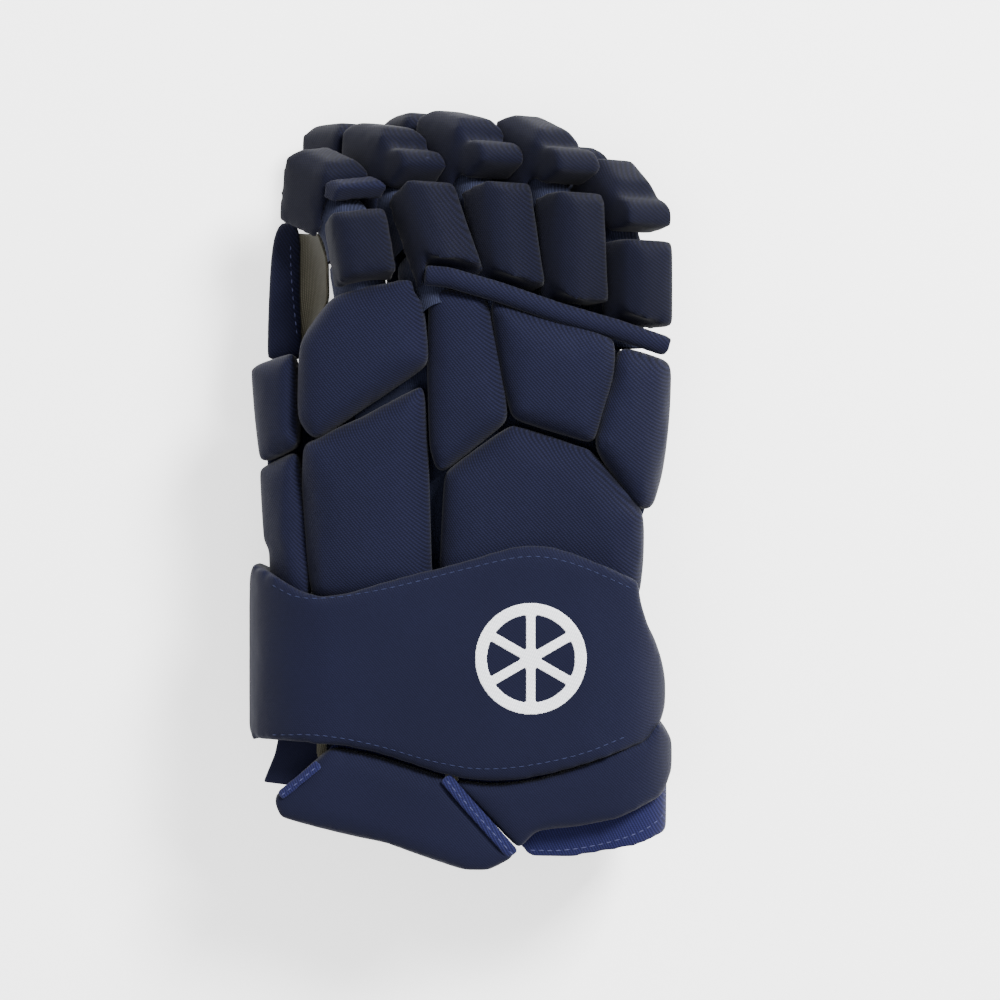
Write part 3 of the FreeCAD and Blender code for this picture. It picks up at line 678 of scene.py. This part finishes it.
def tape_along(name, pieces, plan, wide, thick, material, body, sink=0.3):
    """A flat sewn tape lying on the pieces along a plan line."""
    found = resting(pieces, rounded_line(plan), 2.0, wide / 2)
    if len(found) < 3:
        raise ValueError(name + " finds nothing to lie on")
    places = np.array([f[0] for f in found])
    for _ in range(3):
        places[1:-1] = (places[:-2] + 2 * places[1:-1] + places[2:]) / 4
    rings = []
    for i, (place, normal) in enumerate(found):
        run = Vector(places[min(i + 1, len(places) - 1)] - places[max(i - 1, 0)]).normalized()
        normal = (normal - run * normal.dot(run)).normalized()
        side = run.cross(normal)
        ring = []
        for j in range(12):
            a = 2 * pi * j / 12
            u = abs(cos(a)) ** 0.6 * (1 if cos(a) > 0 else -1) * wide / 2
            v = sin(a) * thick / 2
            ring.append(Vector(places[i]) + (side * u + normal * (v + thick / 2 - sink))
                        * millimetre)
        rings.append(ring)
    piece = shaded(skin_through(name, rings, True), material)
    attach(piece, body)
    return piece


def stitched_along(name, pieces, plan, material, body, length=2.4, gap=1.2, thick=0.5):
    """A row of stitches lying on the pieces along a plan line."""
    found = resting(pieces, rounded_line(plan), (length + gap) / 2)
    mesh = bmesh.new()
    for (a, up_a), (b, up_b) in zip(found[::2], found[1::2]):
        run = (b - a).normalized()
        up = (up_a + up_b).normalized()
        side = run.cross(up)
        middle = (a + b) / 2 + up * (0.05 * millimetre)
        rows = []
        for share in (-1, -0.8, -0.35, 0.35, 0.8, 1):
            swell = max(0.12, (1 - abs(share) ** 3)) * thick / 2 * millimetre
            centre = middle + run * (share * length / 2 * millimetre)
            rows.append([mesh.verts.new(centre + side * (cos(pi * k / 3) * swell)
                                        + up * (sin(pi * k / 3) * swell)) for k in range(6)])
        for low, high in zip(rows, rows[1:]):
            for i in range(6):
                mesh.faces.new((low[i], low[(i + 1) % 6], high[(i + 1) % 6], high[i]))
        mesh.faces.new(rows[0])
        mesh.faces.new(rows[-1])
    bmesh.ops.recalc_face_normals(mesh, faces=mesh.faces)
    data = bpy.data.meshes.new(name)
    mesh.to_mesh(data)
    mesh.free()
    piece = bpy.data.objects.new(name, data)
    bpy.context.scene.collection.objects.link(piece)
    shaded(piece, material, 0)
    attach(piece, body)
    return piece


cuff_pads = {n: bpy.data.objects[n + "_cover"] for n in
             ("cuff_band", "inner_flap_pad", "outer_flap_pad", "inner_flap_backing",
              "outer_flap_backing")}
flaps = [cuff_pads["inner_flap_pad"], cuff_pads["outer_flap_pad"],
         cuff_pads["outer_flap_backing"]]
between = tape_along("flap_binding", flaps, [(-8.5, 39), (-3, 32), (8, 20), (21, 5.5)], 5.6, 1.8,
                     royal_tape, "cuff")
stitched_along("flap_binding_stitches", [between], [(-7.5, 37.5), (-3, 32), (8, 20), (19.5, 7)],
               light_thread, "cuff")
fold = hung_sheet("inner_edge_fold", [(-85, 35, 71), (-80, 47, 73), (-76, 66, 74)],
                  [(-64, 33, 75), (-50, 44, 77), (-42, 66, 78)], -1.5, 2.4, navy_smooth)
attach(fold, "cuff")
edge = tape_along("inner_edge_binding", flaps, [(-76.5, 30.8), (-68, 37.6), (-60, 44.4)],
                  4.6, 1.6, royal_tape, "cuff")
stitched_along("inner_edge_stitches", [edge], [(-75.8, 31.4), (-68, 37.6), (-61, 43.6)],
               light_thread, "cuff", 2.0, 1.2)
strip_row = [(-75.4, 262), (-75.0, 250), (-73.6, 236), (-72.2, 224)]
stitched_along("side_strip_stitches", [bpy.data.objects["thumb_side_strip"]], strip_row,
               light_thread, "hand", 2.0, 1.6)
rim_line = [(27, 7.5), (42, 7.2), (64, 11.5), (81, 18.5), (87.5, 29)]
stitched_along("outer_rim_stitches", [cuff_pads["outer_flap_backing"]], rim_line, light_thread,
               "cuff")
top_edge = [(-80, 118), (-67, 111.5), (-36, 115.5), (6, 126.5), (27, 131), (45, 127.5),
            (68, 117)]
stitched_along("band_top_stitches", [cuff_pads["cuff_band"]], top_edge, navy_thread, "cuff",
               2.6, 1.0, 0.45)
low_edge = [(-80, 56), (-60, 57), (-36, 52.5), (-14, 45.5), (10, 41.5), (44, 47), (67, 56)]
stitched_along("band_low_stitches", [cuff_pads["cuff_band"]], low_edge, navy_thread, "cuff",
               2.6, 1.0, 0.45)

# ---- Emblem ----
# A plain round badge embroidered in white thread and stitched to the band.
white_thread = woven("white_thread", (0.45, 0.46, 0.50), (0.80, 0.81, 0.84),
                     ((1.0, 0.35, 0.3), 0.7), ((0.3, 1.0, 0.3), 1.6), 0.10, rough=0.7,
                     sheen=0.3, mottle=0.4)
badge = eased(remeshed(cad_copy("cuff_emblem_thread", "cuff_emblem"), 0.4), 3)
shaded(badge, white_thread, 0)
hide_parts("cuff_emblem")
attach(badge, "cuff")

# ---- Floor, light and camera ----
# The glove lies palm down on a plain pale floor that glows a little, under soft light from
# above and one side.
floor_mesh = bpy.data.meshes.new("floor")
floor_mesh.from_pydata([(-3, -3, 0), (3, -3, 0), (3, 3, 0), (-3, 3, 0)], [], [(0, 1, 2, 3)])
floor = bpy.data.objects.new("floor", floor_mesh)
bpy.context.scene.collection.objects.link(floor)
pale = bpy.data.materials.new("pale_floor")
pale.use_nodes = True
paper = pale.node_tree.nodes["Principled BSDF"]
paper.inputs["Base Color"].default_value = (0.9, 0.9, 0.9, 1)
paper.inputs["Roughness"].default_value = 0.9
paper.inputs["Emission Color"].default_value = (1, 1, 1, 1)
paper.inputs["Emission Strength"].default_value = 1.0
floor_mesh.materials.append(pale)

world = bpy.data.worlds.new("room")
bpy.context.scene.world = world
world.use_nodes = True
world.node_tree.nodes["Background"].inputs[0].default_value = (1, 1, 1, 1)
world.node_tree.nodes["Background"].inputs[1].default_value = 1.1


def soft_light(name, place, power, size):
    lamp = bpy.data.lights.new(name, "AREA")
    lamp.energy, lamp.size = power, size
    lamp_object = bpy.data.objects.new(name, lamp)
    bpy.context.scene.collection.objects.link(lamp_object)
    lamp_object.location = place
    lamp_object.rotation_euler = (-Vector(place)).to_track_quat("-Z", "Y").to_euler()


soft_light("key", (0.9, 1.0, 1.5), 130.0, 0.6)
soft_light("fill", (-0.4, -0.5, 2.0), 30.0, 1.2)

camera = bpy.data.cameras.new("camera")
camera.lens, camera.sensor_width = 128.6, 36.0
camera_object = bpy.data.objects.new("camera", camera)
bpy.context.scene.collection.objects.link(camera_object)
camera_object.location = spot(14.3, 153.3, 1570)
bpy.context.scene.camera = camera_object
